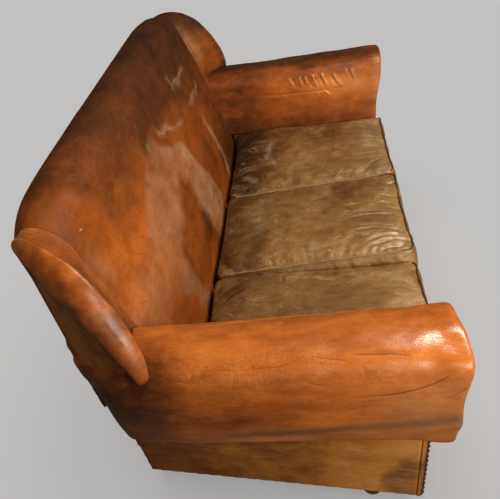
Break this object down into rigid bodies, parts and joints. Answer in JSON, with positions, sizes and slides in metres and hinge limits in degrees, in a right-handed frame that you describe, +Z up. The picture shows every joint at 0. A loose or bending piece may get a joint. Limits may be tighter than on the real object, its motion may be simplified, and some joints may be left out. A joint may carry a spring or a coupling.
{
  "type": "worn leather three-seat sofa",
  "caption": "Worn cognac leather club sofa with broad padded arms, rolled wings beside a high back, loose taupe leather seat cushions with piped edges, a nailed front edge and bun feet.",
  "frame": {"origin": "on the floor, in the middle of the sofa's bounding box", "axes": "+Z up; the front faces -Y and the back is towards +Y; +X runs along the sofa's width, from its left arm (-X) to its right arm (+X)"},
  "size_m": [1.902, 0.9956, 0.9349],
  "materials": {
    "tan_leather": "waxed cognac leather, rubbed lighter on top and dark in the folds",
    "dark_leather": "waxed brown leather, dull and dirty",
    "taupe_leather": "worn taupe-brown leather, satin and creased",
    "beech": "sawn, unfinished",
    "jute_webbing": "woven jute, matte",
    "hessian": "woven hessian over springs and padding, matte",
    "black_cloth": "thin black dust cloth, matte",
    "lacquered_wood": "turned and lacquered, glossy"
  },
  "bodies": {
    "root": {"back_pad": "tan_leather", "dust_cover": "black_cloth", "front_border": "tan_leather", "front_seat_rail": "beech", "left_arm": "tan_leather", "left_arm_block": "beech", "left_arm_rail": "beech", "left_back_post": "beech", "left_back_strap": "jute_webbing", "left_front_corner_block": "beech", "left_front_facing": "tan_leather", "left_front_foot": "lacquered_wood", "left_front_post": "beech", "left_inner_lining": "dark_leather", "left_lower_arm_rail": "beech", "left_middle_back_post": "beech", "left_nail_band": "dark_leather", "left_rear_corner_block": "beech", "left_rear_foot": "lacquered_wood", "left_seat_bearer": "beech", "left_seat_cushion": "taupe_leather", "left_seat_rail": "beech", "left_side_board": "dark_leather", "left_wing": "tan_leather", "left_wing_board": "beech", "lower_back_rail": "beech", "middle_seat_cushion": "taupe_leather", "outside_back": "dark_leather", "rear_seat_rail": "beech", "right_arm": "tan_leather", "right_arm_block": "beech", "right_arm_rail": "beech", "right_back_post": "beech", "right_back_strap": "jute_webbing", "right_front_corner_block": "beech", "right_front_facing": "tan_leather", "right_front_foot": "lacquered_wood", "right_front_post": "beech", "right_inner_lining": "dark_leather", "right_lower_arm_rail": "beech", "right_middle_back_post": "beech", "right_nail_band": "dark_leather", "right_rear_corner_block": "beech", "right_rear_foot": "lacquered_wood", "right_seat_bearer": "beech", "right_seat_cushion": "taupe_leather", "right_seat_rail": "beech", "right_side_board": "dark_leather", "right_wing": "tan_leather", "right_wing_board": "beech", "seat_deck": "hessian", "seat_strap_1": "jute_webbing", "seat_strap_2": "jute_webbing", "seat_strap_3": "jute_webbing", "seat_strap_4": "jute_webbing", "seat_strap_5": "jute_webbing", "seat_strap_6": "jute_webbing", "top_back_rail": "beech"}
  },
  "joints": []
}
